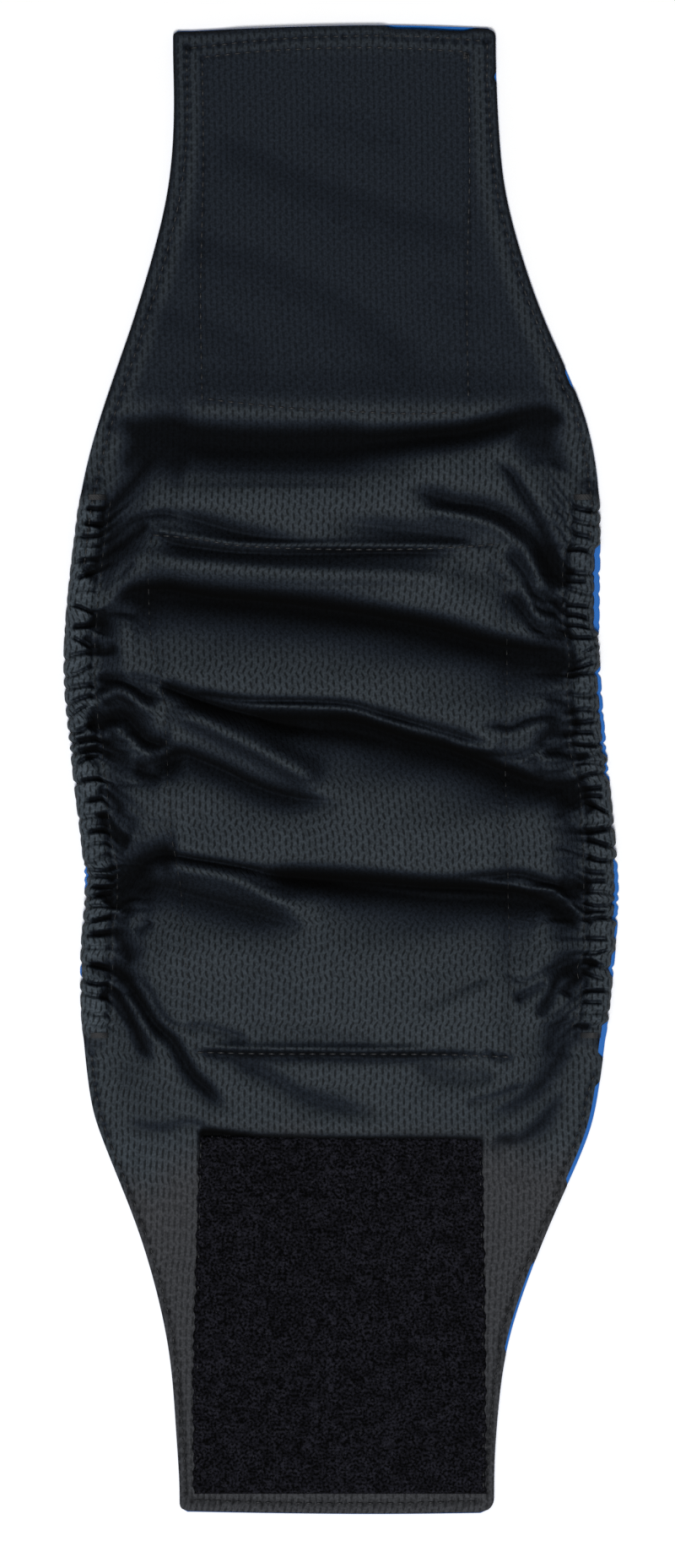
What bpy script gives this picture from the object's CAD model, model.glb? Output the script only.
"""A gathered, padded belly band lying open on a white floor with its lining up.

The CAD frame gives the outline, the patches, the pad and the five joints. Here the cloth gets its real
shape: a dense lining that is gathered between two elastic channels, rolls over the pad and sinks into
creases, over a thin blue shell. Lengths are in millimetres until a mesh is made.
"""

import math

import bpy
import numpy as np
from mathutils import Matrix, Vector


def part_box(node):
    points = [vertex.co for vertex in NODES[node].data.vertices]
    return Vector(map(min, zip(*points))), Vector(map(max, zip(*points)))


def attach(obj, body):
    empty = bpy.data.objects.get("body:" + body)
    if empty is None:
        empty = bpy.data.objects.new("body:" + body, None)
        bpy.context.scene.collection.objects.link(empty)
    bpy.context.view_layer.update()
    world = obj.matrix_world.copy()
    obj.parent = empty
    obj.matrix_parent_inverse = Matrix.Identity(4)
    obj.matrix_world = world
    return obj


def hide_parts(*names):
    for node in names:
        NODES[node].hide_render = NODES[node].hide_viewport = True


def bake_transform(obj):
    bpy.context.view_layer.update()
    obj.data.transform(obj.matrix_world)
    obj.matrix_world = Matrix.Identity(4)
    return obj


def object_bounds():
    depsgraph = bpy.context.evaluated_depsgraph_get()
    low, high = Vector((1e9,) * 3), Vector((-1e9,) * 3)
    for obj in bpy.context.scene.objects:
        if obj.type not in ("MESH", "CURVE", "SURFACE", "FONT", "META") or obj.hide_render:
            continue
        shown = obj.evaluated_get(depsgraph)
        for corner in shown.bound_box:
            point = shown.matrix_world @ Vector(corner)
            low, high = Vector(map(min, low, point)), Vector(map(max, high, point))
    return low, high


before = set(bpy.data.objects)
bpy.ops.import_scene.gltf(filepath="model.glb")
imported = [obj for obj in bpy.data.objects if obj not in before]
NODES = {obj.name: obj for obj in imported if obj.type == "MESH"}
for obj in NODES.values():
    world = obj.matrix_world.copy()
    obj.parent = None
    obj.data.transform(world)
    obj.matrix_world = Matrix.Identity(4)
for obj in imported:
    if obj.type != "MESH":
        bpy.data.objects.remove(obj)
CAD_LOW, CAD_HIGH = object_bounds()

MM = 0.001


def node_box(name):
    """Lowest and highest corner of a CAD node, in mm."""
    low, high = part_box(name)
    return np.array(low) / MM, np.array(high) / MM


HOOK_LOW, HOOK_HIGH = node_box("hook_patch")
LOOP_LOW, LOOP_HIGH = node_box("loop_patch")
CORE_LOW, CORE_HIGH = node_box("absorbent_core_lower")
ELASTIC_LOW, ELASTIC_HIGH = node_box("elastic_left")
BAND_END = float(CAD_HIGH.y) / MM

# Where the cloth is cut into pieces, from the hook end to the loop end, and between what each bends:
# (name, top, bottom, body above, body below, where it starts to turn, where it has turned)
WINDOWS = [
    ("hook_tab", BAND_END, 95.8, "hook_tab", "hook_neck", 112.3, 96.3),
    ("hook_neck", 95.8, 78.6, "hook_neck", "hook_yoke", 95.3, 79.3),
    ("middle", 78.6, -70.0, "hook_yoke", "centre_panel", 78.0, -68.0),
    ("loop_neck", -70.0, -96.6, "centre_panel", "loop_neck", -78.0, -94.0),
    ("loop_tab", -96.6, -BAND_END, "loop_neck", "loop_tab", -99.3, -115.3),
]

ROW_PITCH = {"hook_tab": 0.6, "hook_neck": 0.65, "middle": 0.42, "loop_neck": 0.55, "loop_tab": 0.7}
COLUMNS = 241
EDGE_CROWD = 0.5
CORNERS = {("left", "hook"): 1.4, ("right", "hook"): 2.3, ("left", "loop"): 2.3, ("right", "loop"): 4.0}
SEAM_Z = 1.3
LINING_Z = 1.7
TAB_Z = 3.6
CHANNEL_TOP, CHANNEL_END = 80.0, -78.0
CHANNEL_WIDTH = 9.0
CHANNEL_RISE = 4.2
CHANNEL_FLOOR = 3.4
OFF_PAD = 0.72

# The lining's height along the band's middle, before its folds: (y, mm)
PROFILE = [
    (220, 3.6), (132, 3.6), (118, 4.2), (106, 8.0), (97, 8.0), (86, 9.5), (74, 10.5), (55, 11.5),
    (20, 12.0), (-40, 12.5), (-70, 11.0), (-85, 9.5), (-97, 7.5), (-106, 6.2), (-114, 3.6), (-126, 1.7),
    (-220, 1.7),
]

rng = np.random.default_rng(7)


# ---------------------------------------------------------------- numbers


def smooth(t):
    t = np.clip(t, 0.0, 1.0)
    return t * t * (3.0 - 2.0 * t)


def between(v, low, high, soft):
    """1 between low and high, easing to 0 over soft on either side."""
    return smooth((v - low) / soft + 0.5) * smooth((high - v) / soft + 0.5)


def blur(z, rows, columns=0.0):
    """A gaussian blur by so many rows and columns."""
    for axis, sigma in ((0, rows), (1, columns)):
        if sigma <= 0:
            continue
        half = int(3 * sigma) + 1
        weights = np.exp(-0.5 * (np.arange(-half, half + 1) / sigma) ** 2)
        weights /= weights.sum()
        pad = [(half, half) if a == axis else (0, 0) for a in range(z.ndim)]
        wide = np.pad(z, pad, mode="edge")
        size = z.shape[axis]
        z = sum(w * np.take(wide, range(k, k + size), axis=axis) for k, w in enumerate(weights))
    return z


def lowest(z, reach):
    """The lowest value within so many rows and columns."""
    for axis in (0, 1):
        pad = [(reach, reach) if a == axis else (0, 0) for a in (0, 1)]
        wide, size = np.pad(z, pad, mode="edge"), z.shape[axis]
        z = np.min([np.take(wide, range(k, k + size), axis=axis) for k in range(2 * reach + 1)], axis=0)
    return z


def route(points, step=0.7):
    """Points on a smooth curve through hand-chosen points."""
    p = np.array(points, float)
    p = np.vstack([2 * p[0] - p[1], p, 2 * p[-1] - p[-2]])
    out = []
    for a, b, c, d in zip(p[:-3], p[1:-2], p[2:-1], p[3:]):
        t = np.linspace(0, 1, max(2, int(np.linalg.norm(c - b) / step)), endpoint=False)[:, None]
        out.append(0.5 * (2 * b + (c - a) * t + (2 * a - 5 * b + 4 * c - d) * t**2
                          + (3 * b - a - 3 * c + d) * t**3))
    return np.vstack(out + [p[-2:-1]])


# ---------------------------------------------------------------- the outline


END_SKIP = 6.0
HALF_LEAST = 40.0
OUTLINE_BLUR = 3.5


def outline():
    """The shell's left and right edge at each height, smoothed, as two functions of y."""
    found = {}
    for name, node in NODES.items():
        if name.startswith("shell_"):
            for v in node.data.vertices:
                y = round(v.co.y / MM, 1)
                low, high = found.get(y, (0.0, 0.0))
                found[y] = (min(low, v.co.x / MM), max(high, v.co.x / MM))
    ys = np.array([y for y in sorted(found) if abs(y) < BAND_END - END_SKIP])
    sides = np.array([found[y] for y in ys])
    kept = (sides[:, 0] < -HALF_LEAST) & (sides[:, 1] > HALF_LEAST)
    ys, sides = ys[kept], sides[kept]
    fine = np.arange(-BAND_END - 1, BAND_END + 1.5, 1.0)
    left, right = (blur(np.interp(fine, ys, sides[:, k])[:, None], OUTLINE_BLUR)[:, 0] for k in (0, 1))
    return lambda y: np.interp(y, fine, left), lambda y: np.interp(y, fine, right)


LEFT, RIGHT = outline()

# How far the blue shell shows beyond the lining: (low y, high y, mm) along the right edge
PEEKS_RIGHT = [
    (41, 66, 1.7), (4, 30, 1.1), (-3, 2, 0.8), (-45, -27, 1.2), (-50, -46, 0.8), (-61, -54, 1.1),
    (-84.5, -75, 1.7), (-122, -93, 1.2), (-172, -146, 0.75), (204, 206, 0.6), (113, 118, 0.7),
]
PEEKS_LEFT = [(-35, -29, 0.7), (-61, -58, 0.5)]


def peek(y, spans):
    """How far the lining draws back from the shell's edge at y."""
    return sum(size * between(y, low, high, 2.0) for low, high, size in spans)


# ---------------------------------------------------------------- folds

# Each fold: its height, below 0 for a groove, its reach above and below its route, how round it is (1 is
# a sharp V, 2 is round), its route, and where along it the ends fade. Most routes were picked by eye on
# the photo and turned into mm by a helper script, then corrected by hand against renders.
FOLDS = [
    # valley under the end of the stiff hook patch, with its branch and its tail on the left
    (-10.0, 1.5, 2.2, 1.0, [(-60, 100), (-48, 98.8), (-42, 97.2), (-31, 95.6), (-8, 95.9), (11, 97.4),
     (23, 98.6), (36, 99.7), (45, 101.7), (54, 104), (60, 104.6), (67, 102.5)], (0.08, 0.05)),
    (-11.0, 3.0, 4.2, 1.0, [(-61, 101), (-50, 101), (-44, 98.5), (-30, 97.2), (-10, 97),
     (10, 98.5)], (0.1, 0.2)),
    (-6.5, 1.8, 2.8, 1.0, [(-12, 96), (10, 97), (25, 98.5), (40, 100.5), (50, 103), (58, 104.5),
     (67, 102)], (0.2, 0.1)),
    (-4.5, 4.0, 9.5, 1.3, [(-56, 98), (-30, 96.5), (0, 96), (18, 97.5), (30, 99.5)], (0.1, 0.3)),
    (-4.5, 4.0, 6.0, 1.4, [(-68, 93), (-60, 96), (-52, 93), (-44, 91)]),
    (-6.4, 2.8, 3.8, 1.2, [(-75, 92), (-68, 97.5), (-62, 100), (-55, 100.5)]),
    (-3.0, 2.6, 2.6, 1.2, [(-57, 100.5), (-62, 98.5), (-66, 96.5), (-70, 93), (-74, 87)], (0.2, 0.1)),
    (-4.4, 2.4, 2.4, 1.1, [(-53, 95), (-57, 92), (-60, 88), (-64, 83), (-68, 78), (-70, 74),
     (-72, 70)], (0.2, 0.1)),
    (-3.6, 5.0, 5.0, 1.6, [(52, 101), (58, 97), (65, 95), (64, 88)]),
    (-0.8, 1.4, 1.4, 1.3, [(-51, 111), (-49, 108), (-47, 104)]),
    (1.4, 8.0, 7.0, 2.0, [(-60, 79), (-40, 80), (-15, 81), (8, 83), (30, 89), (48, 95)]),
    # the long arc above the pad, and the deep fold beside it
    (-2.8, 1.2, 1.6, 1.1, [(-71, 66), (-67, 70.5), (-63, 73), (-58, 75), (-52, 75.5),
     (-46, 74.5)], (0.1, 0.3)),
    (-4.6, 2.4, 2.6, 1.2, [(-58, 75.2), (-52, 75.5), (-44, 73.8), (-36, 71.5), (-28, 69.5), (-15, 68),
     (0, 68)], (0.3, 0.5)),
    (-5.2, 2.6, 2.8, 1.1, [(-76, 57), (-71, 61.5), (-68, 65), (-64, 68), (-60, 71),
     (-56, 72)], (0.1, 0.15)),
    (-4.0, 3.0, 3.2, 1.4, [(-14, 73), (0, 72.4), (10, 71.6), (20, 70.5), (32, 69), (41, 67.5),
     (52, 66)], (0.5, 0.3)),
    # the hem of the pad's top and the shadow under it
    (1.5, 1.5, 1.0, 2.0, [(-57, 71), (-50, 69.5), (-40, 67.8), (-28, 66.4), (0, 65.9), (30, 65.8),
     (42, 65.6)], (0.05, 0.1)),
    (-4.0, 0.9, 3.2, 1.0, [(-56, 69.5), (-50, 67), (-42, 65.5), (-28, 64), (-8, 63.7), (15, 64),
     (30, 63.8), (43, 63.8)], (0.1, 0.25)),
    (2.0, 3.0, 3.4, 2.0, [(-68, 56), (-64, 61), (-57, 62.5), (-42, 61), (-20, 59), (0, 58), (22, 57),
     (40, 55)]),
    (-1.0, 0.9, 0.9, 1.2, [(-66, 56), (-64, 59), (-61, 61)]),
    # the folds that sweep down into the right channel
    (-4.6, 1.5, 1.9, 1.1, [(44, 93), (50, 88), (53, 83), (56, 78), (59, 73), (61, 68), (63, 62),
     (66, 56)], (0.25, 0.05)),
    (-5.4, 2.8, 2.8, 1.1, [(18, 83.5), (27, 81), (34, 79), (41, 78), (47, 76), (52, 73), (57, 69),
     (60, 64), (63, 58), (67, 54)], (0.2, 0.05)),
    (2.2, 2.2, 2.2, 2.0, [(20, 77), (35, 75), (45, 72), (51, 68), (55, 64), (58, 58), (61, 54),
     (65, 51)]),
    (-3.2, 1.7, 1.7, 1.1, [(48, 65), (52, 61), (55, 57), (57, 52.5), (60, 50.5),
     (66, 49)], (0.2, 0.05)),
    (-2.0, 1.0, 1.0, 1.1, [(56, 50), (59, 47.5), (63, 46.5), (67, 47)]),
    (1.6, 1.8, 1.8, 2.0, [(52, 56), (56, 49), (59, 45), (65, 43)]),
    (-3.8, 1.8, 1.8, 1.1, [(48, 53), (52, 49), (55, 45), (58, 41.5), (62, 40), (68, 40)], (0.2, 0.05)),
    (-1.2, 1.2, 1.2, 1.2, [(43, 61), (47, 57.5), (51, 55.5)]),
    (-1.9, 5.0, 5.0, 1.6, [(32, 60.5), (42, 57), (50, 51), (57, 44)]),
    # valley below the first roll
    (-9.0, 1.2, 1.7, 1.0, [(-66, 51), (-57, 52.2), (-50, 53.2), (-37, 50.6), (-20, 49), (0, 46.4),
     (15, 44), (28, 41.6), (40, 38), (54, 35), (64, 33), (70, 29)], (0.1, 0.05)),
    (-11.0, 1.9, 4.6, 1.0, [(-70, 47), (-66, 50), (-61, 52.6), (-52, 53), (-46, 51.8), (-30, 50.3),
     (-15, 49), (0, 47), (15, 44.5), (30, 41), (42, 37.5), (54, 35), (62, 34), (70, 29)], (0.08, 0.05)),
    (-6.6, 2.2, 13.0, 1.2, [(-64, 51), (-40, 49.5), (-10, 46.5), (15, 42.5), (35, 37.5), (52, 33),
     (66, 29)], (0.06, 0.1)),
    (-2.8, 1.4, 1.4, 1.1, [(-74, 43), (-70, 46), (-66, 46.5), (-59, 45.5)]),
    (-3.6, 2.2, 2.2, 1.2, [(-73, 46), (-71, 43), (-72, 40)]),
    (-3.2, 1.5, 1.5, 1.1, [(-77, 39.5), (-74, 37.5), (-71.5, 35), (-69, 35), (-66, 36.5)]),
    (-2.2, 2.4, 2.4, 1.2, [(58, 33), (64, 30.5), (69, 28), (71, 27)]),
    # crease under the second roll: its left end, its lip with a thin fold below, and its deep bottom
    (-3.8, 1.6, 1.6, 1.1, [(-73, 27), (-68, 26.7), (-64, 26), (-60, 24), (-57, 22),
     (-52, 21)], (0.1, 0.2)),
    (-2.0, 1.6, 1.4, 1.2, [(-63, 27.5), (-58, 27), (-53, 25.5)]),
    (-3.0, 1.0, 1.0, 1.1, [(-46, 22.6), (-38, 21.5), (-28, 20.4), (-12, 20.2), (2, 19.4), (12, 16.6),
     (24, 13), (34, 10), (45, 7)], (0.08, 0.1)),
    (-1.8, 3.0, 1.6, 1.2, [(8, 17), (20, 14.5), (30, 12), (40, 9)]),
    (-8.5, 1.7, 1.9, 1.0, [(-55, 25.5), (-48, 23), (-42, 20.6), (-34, 18), (-26, 16), (-17, 13.5),
     (-8, 12)], (0.1, 0.2)),
    (-5.0, 2.0, 2.0, 1.2, [(-28, 16.5), (-18, 14), (-8, 12), (0, 11.6), (8, 10), (16, 8)]),
    (-3.0, 1.6, 2.0, 1.1, [(50, -3), (60, -4.5), (66, -5.5), (70, -7.5), (75, -11.5)], (0.3, 0.05)),
    (-12.0, 1.8, 4.8, 1.0, [(-24, 15.8), (-12, 14.6), (2, 14.2), (12, 11.4), (22, 8.2), (32, 5.6),
     (42, 2), (50, -2), (58, -4.4), (66, -5), (73, -10)], (0.15, 0.05)),
    (-9.0, 1.2, 1.8, 1.0, [(-8, 14.2), (0, 14), (6, 13.2), (12, 11.6), (20, 9), (30, 6.6), (38, 3.6),
     (47, 0), (56, -3.2), (64, -4.4)]),
    (-6.2, 2.5, 13.5, 1.2, [(-12, 12.5), (0, 12), (14, 8), (30, 4), (44, -1),
     (58, -4.5)], (0.15, 0.25)),
    (1.4, 1.2, 1.3, 2.0, [(-30, 19), (-10, 18.2), (2, 17.3), (10, 14.8), (19, 12), (28, 8)]),
    (1.4, 1.2, 1.2, 2.0, [(30, 8.4), (38, 6.2), (46, 5.4)]),
    # the left side below it
    (2.4, 2.2, 2.4, 2.0, [(-75, 17), (-71, 21), (-67, 23.5), (-63, 22.5), (-59, 19), (-53, 16)]),
    (-1.2, 0.9, 0.9, 1.2, [(-71, 17.5), (-67, 20.5), (-64, 20), (-60, 17.5)]),
    (-7.5, 2.2, 2.2, 1.1, [(-75, 12), (-71, 14.3), (-66, 16.3), (-63, 15), (-60, 11.5), (-57, 8.5),
     (-50, 6.5)], (0.1, 0.15)),
    (2.0, 2.2, 2.4, 2.0, [(-73, 10), (-68, 12), (-63, 10), (-58, 5.5), (-53, 3)]),
    (-3.8, 2.0, 2.8, 1.2, [(-76, 3), (-72, 5.3), (-69, 5), (-65, 2.5), (-60, 0),
     (-52, -2)], (0.1, 0.15)),
    (-4.0, 3.2, 3.2, 1.2, [(-62, 0), (-56, 1), (-51, 2), (-46, 4)]),
    (-1.6, 0.9, 0.9, 1.1, [(-78, 7), (-74, 8), (-70, 8), (-67, 10)]),
    (4.4, 4.4, 3.2, 2.0, [(-52, 17.5), (-42, 15), (-33, 10.6), (-24, 6), (-14, 0.5), (-4, -4)]),
    (-8.0, 1.8, 4.6, 1.2, [(-57, 0), (-52, 3), (-47, 4.5), (-41, 2.5), (-34, -0.5), (-27, -4),
     (-19, -7), (-9, -9), (4, -10)], (0.12, 0.35)),
    # the right side below it
    (-2.2, 1.2, 1.2, 1.1, [(60, 20.5), (64, 20.8), (67, 19), (69, 15), (69.5, 11)]),
    (-1.8, 1.2, 1.2, 1.2, [(40, 12.5), (46, 13.5), (50, 13), (56, 15.5), (62, 16), (68, 14)]),
    (1.6, 2.4, 2.4, 2.0, [(43, 10.5), (50, 10.5), (57, 12.5), (64, 13.5)]),
    (-3.2, 1.6, 1.5, 1.1, [(36, 5.4), (44, 4), (52, 4), (57, 6), (61, 9.5), (65, 11.3),
     (70, 10)], (0.15, 0.1)),
    (-3.4, 2.4, 2.4, 1.2, [(56, 4), (58, 0), (60, -4)]),
    (-2.6, 1.6, 1.6, 1.1, [(59, 5), (64, 5.5), (69, 4), (74, 4.5)]),
    (-1.8, 1.6, 1.6, 1.1, [(65, -5), (70, -8), (73, -11), (76, -12.5)]),
    (-1.0, 1.6, 1.6, 1.2, [(66, -14), (70, -17.5), (75, -19)]),
    # crease under the third roll, with the thin folds at both of its ends
    (-2.6, 1.2, 1.2, 1.1, [(-76, -9), (-72, -8), (-70, -6.5), (-67.5, -9), (-65, -13)]),
    (2.0, 1.1, 1.1, 2.0, [(-70.5, -9), (-69, -13), (-66, -17), (-61, -21)]),
    (-5.0, 2.6, 2.4, 1.1, [(-71, -12), (-69, -16), (-66, -19.5), (-62, -21.5)]),
    (-12.0, 3.2, 3.2, 1.1, [(-68, -41), (-65, -36), (-62, -31.5), (-58, -27), (-53, -25),
     (-48, -25)], (0.08, 0.2)),
    (-4.2, 1.0, 1.1, 1.0, [(-52, -24.5), (-44, -26.2), (-36, -27.5), (-28, -29),
     (-20, -30.5)], (0.1, 0.2)),
    (-13.0, 1.8, 3.6, 1.0, [(-30, -29.2), (-18, -31.5), (-4, -32.2), (10, -33.2), (24, -34.6),
     (40, -35.2), (52, -36.4), (60, -39), (66, -42), (70, -46.5), (71.5, -49)], (0.2, 0.1)),
    (-9.0, 1.2, 1.6, 1.0, [(-26, -30), (-18, -31), (-8, -32.2), (8, -33.4), (25, -34.6), (42, -35.4),
     (56, -37.4)]),
    (-8.6, 1.6, 11.0, 1.2, [(-10, -32.6), (10, -35.5), (30, -38), (48, -38.5),
     (62, -41)], (0.25, 0.15)),
    (-4.6, 1.5, 1.4, 1.1, [(30, -31.8), (44, -31.6), (52, -31), (60, -33), (67, -34.8),
     (74, -34)], (0.4, 0.05)),
    (-3.0, 2.2, 2.2, 1.2, [(64, -34), (68, -36), (72, -36)]),
    (2.6, 1.1, 1.3, 2.0, [(40, -33.8), (48, -33.8), (55, -35.2), (62, -35.4), (66, -38), (70, -42),
     (73, -45)]),
    (1.6, 2.2, 2.4, 2.0, [(-54, -28), (-45, -29.6), (-36, -31), (-28, -34), (-20, -38), (-10, -41)]),
    (-9.0, 3.4, 6.0, 1.2, [(-64, -36), (-57, -34.5), (-50, -35.5), (-43, -37.5), (-35, -39.5),
     (-26, -42), (-17, -45), (-6, -48)], (0.12, 0.35)),
    # the left side, down to the long drag lines
    (-2.2, 1.1, 1.1, 1.1, [(-76, -45.5), (-70, -43.6), (-67, -44), (-62, -43)]),
    (-3.4, 1.9, 1.9, 1.1, [(-76, -48), (-68, -48), (-66, -50), (-64, -54), (-62.5, -58)]),
    (-1.8, 1.6, 1.6, 1.2, [(-61.5, -47.5), (-59, -46.5), (-56, -45)]),
    (-6.2, 1.4, 1.9, 1.05, [(-76, -57.5), (-68, -58.6), (-64.5, -61), (-62, -64.5), (-59, -69),
     (-55, -75), (-50, -80), (-47, -85), (-44, -90), (-40, -94), (-36, -98),
     (-31, -100.5)], (0.05, 0.2)),
    (-1.4, 1.0, 1.0, 1.1, [(-61, -61), (-57, -65), (-54, -71), (-50, -75), (-45, -77)]),
    (-4.6, 1.2, 1.5, 1.1, [(-72, -67), (-68, -65.7), (-66, -68), (-63, -73), (-61, -78), (-59, -82),
     (-55, -86)], (0.1, 0.25)),
    (1.6, 1.8, 1.8, 2.0, [(-66, -64.5), (-61, -71), (-57, -77), (-53, -82)]),
    (-1.8, 1.5, 1.8, 1.2, [(-48, -76.5), (-41, -75.8), (-34, -77.6), (-26, -80)]),
    (-1.2, 3.0, 3.0, 1.5, [(-30, -75), (-15, -78), (2, -80), (12, -80)]),
    # the pad's bottom hem, and the hollows between it and the loop patch
    (1.8, 1.2, 1.2, 2.0, [(-44, -81.5), (-25, -82.2), (5, -82.6), (30, -82.4)]),
    (-3.0, 0.9, 2.4, 1.0, [(-43, -83.5), (-35, -84.2), (-26, -85), (-10, -84.4), (5, -85), (20, -85),
     (34, -84.4), (42, -84)], (0.08, 0.15)),
    (-1.2, 1.0, 1.0, 1.2, [(42, -83), (47, -85.3), (51, -84.3)]),
    (-3.2, 2.6, 3.0, 1.2, [(-34, -85.5), (-26, -88), (-20, -91), (-14, -95), (-8, -97.6), (0, -99.3),
     (10, -101), (18, -101)], (0.15, 0.35)),
    (-1.8, 2.6, 2.8, 1.4, [(22, -87), (30, -90), (38, -91), (46, -90.5)]),
    (-1.8, 1.6, 1.4, 1.2, [(-66, -104), (-58, -105.8), (-52, -106), (-46, -104.6), (-38, -105.8)]),
    # the right side, down to the long drag lines
    (-1.6, 1.1, 1.1, 1.2, [(48, -59.5), (54, -62.4), (60, -60), (66, -57), (72, -55.5)]),
    (-3.0, 1.7, 1.9, 1.2, [(51, -68), (56, -65.3), (61, -63)]),
    (-5.0, 1.9, 1.9, 1.05, [(57, -73), (61, -69), (63, -65), (65, -61), (68.5, -59), (72, -59),
     (75, -56)], (0.2, 0.05)),
    (-3.4, 1.9, 1.9, 1.1, [(66, -67), (68, -64), (71, -60)]),
    (-1.4, 2.0, 2.0, 1.4, [(46, -60), (38, -63), (30, -67), (23, -72)]),
    (-3.0, 2.6, 2.6, 1.2, [(75, -73), (71, -76.5), (68, -80), (65, -85), (62, -90), (58, -95),
     (52, -99), (46, -101.5), (38, -103)], (0.1, 0.3)),
    (-1.4, 2.0, 2.0, 1.4, [(68, -72), (64, -77), (61, -84)]),
    (-1.8, 1.2, 1.4, 1.2, [(54, -93), (50, -95), (44, -97), (36, -98.5)]),
    (-3.8, 1.3, 1.6, 1.1, [(68, -95), (63, -101), (59, -105.6), (54, -109.4), (50, -109.8),
     (45, -108.8)]),
    (-2.2, 2.8, 3.0, 1.5, [(68, -100), (62, -107), (57, -114), (53, -122)]),
    (-1.1, 1.8, 1.8, 1.5, [(44, -110), (48, -114), (53, -120)]),
    # the tabs
    (-1.5, 4.0, 7.0, 1.7, [(-42, 189), (-36, 186), (-12, 174.5), (13, 165), (34, 159), (42, 154)]),
    (-1.3, 4.0, 8.0, 1.7, [(-53, 158), (-44, 156), (-25, 150), (0, 138), (17, 125), (30, 118)]),
    (-0.8, 5.0, 5.0, 1.8, [(-12, 196), (4, 190), (22, 186)]),
    (-0.9, 4.0, 7.0, 1.8, [(-62, 137), (-50, 134), (-36, 130), (-20, 121)]),
    (-0.7, 4.0, 6.0, 1.8, [(24, 146), (34, 140), (46, 138)]),
    (-0.6, 6.0, 6.0, 2.0, [(-69, -107), (-59, -127), (-50, -152)]),
]

# How steeply the small folds leave each channel, going inwards: (y, slope)
FANS = {
    "left": [
        (74, 1.0), (60, 0.7), (45, 0.2), (30, 0.1), (18, -0.8), (4, -0.6), (-8, -1.0), (-24, -1.0),
        (-32, 0.9), (-45, 0.4), (-56, -0.5), (-66, -1.2), (-78, -1.3),
    ],
    "right": [
        (74, 1.8), (58, 1.5), (42, 1.0), (28, 0.3), (14, -0.2), (4, -0.4), (-8, -0.5), (-24, 0.3),
        (-36, 0.8), (-48, 0.2), (-58, -0.5), (-68, -1.1), (-78, -1.2),
    ],
}


FOLD_REACH = 3.2


def crease(x, y, z, height, above, below, sharp, points, ends=(0.18, 0.18)):
    """Adds one fold to the heights z."""
    line = route(points)
    reach = FOLD_REACH * max(above, below)
    low, high = line.min(0) - reach, line.max(0) + reach
    near = (x > low[0]) & (x < high[0]) & (y > low[1]) & (y < high[1])
    px, py = x[near], y[near]
    square = (px[:, None] - line[:, 0]) ** 2 + (py[:, None] - line[:, 1]) ** 2
    k = square.argmin(1)
    along = np.gradient(line, axis=0)
    along /= np.linalg.norm(along, axis=1)[:, None]
    side = along[k, 0] * (py - line[k, 1]) - along[k, 1] * (px - line[k, 0])
    side *= 1.0 if line[-1, 0] > line[0, 0] else -1.0
    inner = (k > 0) & (k < len(line) - 1)
    apart = np.where(inner, np.abs(side), np.sqrt(square[np.arange(len(k)), k]))
    t = k / (len(line) - 1)
    fade = smooth(t / ends[0]) * smooth((1 - t) / ends[1])
    width = np.where(side > 0, above, below)
    z[near] += height * fade * np.exp(-((apart / width) ** sharp))


# The pleats across each elastic channel: (y at the channel's middle, its rise for each mm inwards)
PLEAT_LINES = {
    "left": [
        (77.5, -0.1), (73, -0.15), (69.5, 0), (66, 0), (61.5, 0.15), (57.5, 0.3), (52.5, 0.1),
        (47.5, -0.3), (43, 0), (38, -0.5), (33.5, 0.3), (29, 0.4), (24.5, 0.15), (20.5, 0.4),
        (17.5, 0.7), (12.5, 0.4), (8.5, 0.2), (5.5, 0.2), (2.5, 0.5), (-3.5, 0.2), (-8.8, 0.1),
        (-14, 0.15), (-18.8, 0.2), (-22.5, 0.2), (-26, 0.35), (-29, 0), (-31.7, -0.1), (-34.2, -0.1),
        (-37.2, 0.2), (-41, 0), (-44.3, 0.2), (-48.2, 0), (-52.5, 0), (-58, -0.2), (-62.5, -0.2),
        (-66.5, -0.2), (-71.5, -0.2), (-75.5, 0),
    ],
    "right": [
        (77, 0.2), (73, 0.2), (69, 0.2), (64, 0.2), (58.3, 0.1), (55.7, 0), (52.8, 0.25), (48.2, 0.1),
        (44.5, 0.3), (41.7, 0.2), (39.2, 0), (35.3, -0.6), (33, -0.5), (31, -0.4), (28, -0.1),
        (22.5, 0), (17.2, 0), (14.5, -0.1), (11, 0), (7.7, 0), (4.7, -0.2), (1.5, 0), (-1.8, -0.2),
        (-5.3, -0.1), (-8.3, 0.1), (-11.5, 0.5), (-17.5, -0.2), (-22, 0.3), (-26.3, 0.1), (-30, 0),
        (-33.2, 0), (-36.6, 0.1), (-39.5, 0), (-42, 0), (-44.3, -0.1), (-49.8, 0), (-53, -0.3),
        (-57.8, 0.3), (-61, 0.3), (-65.5, 0), (-68.5, 0), (-72, 0), (-75.5, 0),
    ],
}


PLEAT_DEPTHS, PLEAT_WIDTHS, PLEAT_RUNS = (1.1, 2.6), (0.36, 0.6), (1.5, 9.0)
PLEAT_STARTS, PLEAT_BOWS = (-2.0, -2.0, 0.8, 2.2), (-0.9, 0.9)
PLEAT_DRAWS = 60


def pleats(side):
    """One channel's pleats: (y, slant, depth, width, how far in its fold runs, where it starts, bow)."""
    ranges = (PLEAT_DEPTHS, PLEAT_WIDTHS, PLEAT_RUNS)
    depths, widths, runs = (rng.uniform(*low_high, PLEAT_DRAWS) for low_high in ranges)
    starts, bows = rng.choice(PLEAT_STARTS, PLEAT_DRAWS), rng.uniform(*PLEAT_BOWS, PLEAT_DRAWS)
    drawn = zip(depths, widths, runs, starts, bows)
    return [(y, slant, *rest) for (y, slant), rest in zip(PLEAT_LINES[side], drawn)]


PLEATS = {side: pleats(side) for side in ("left", "right")}


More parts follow.
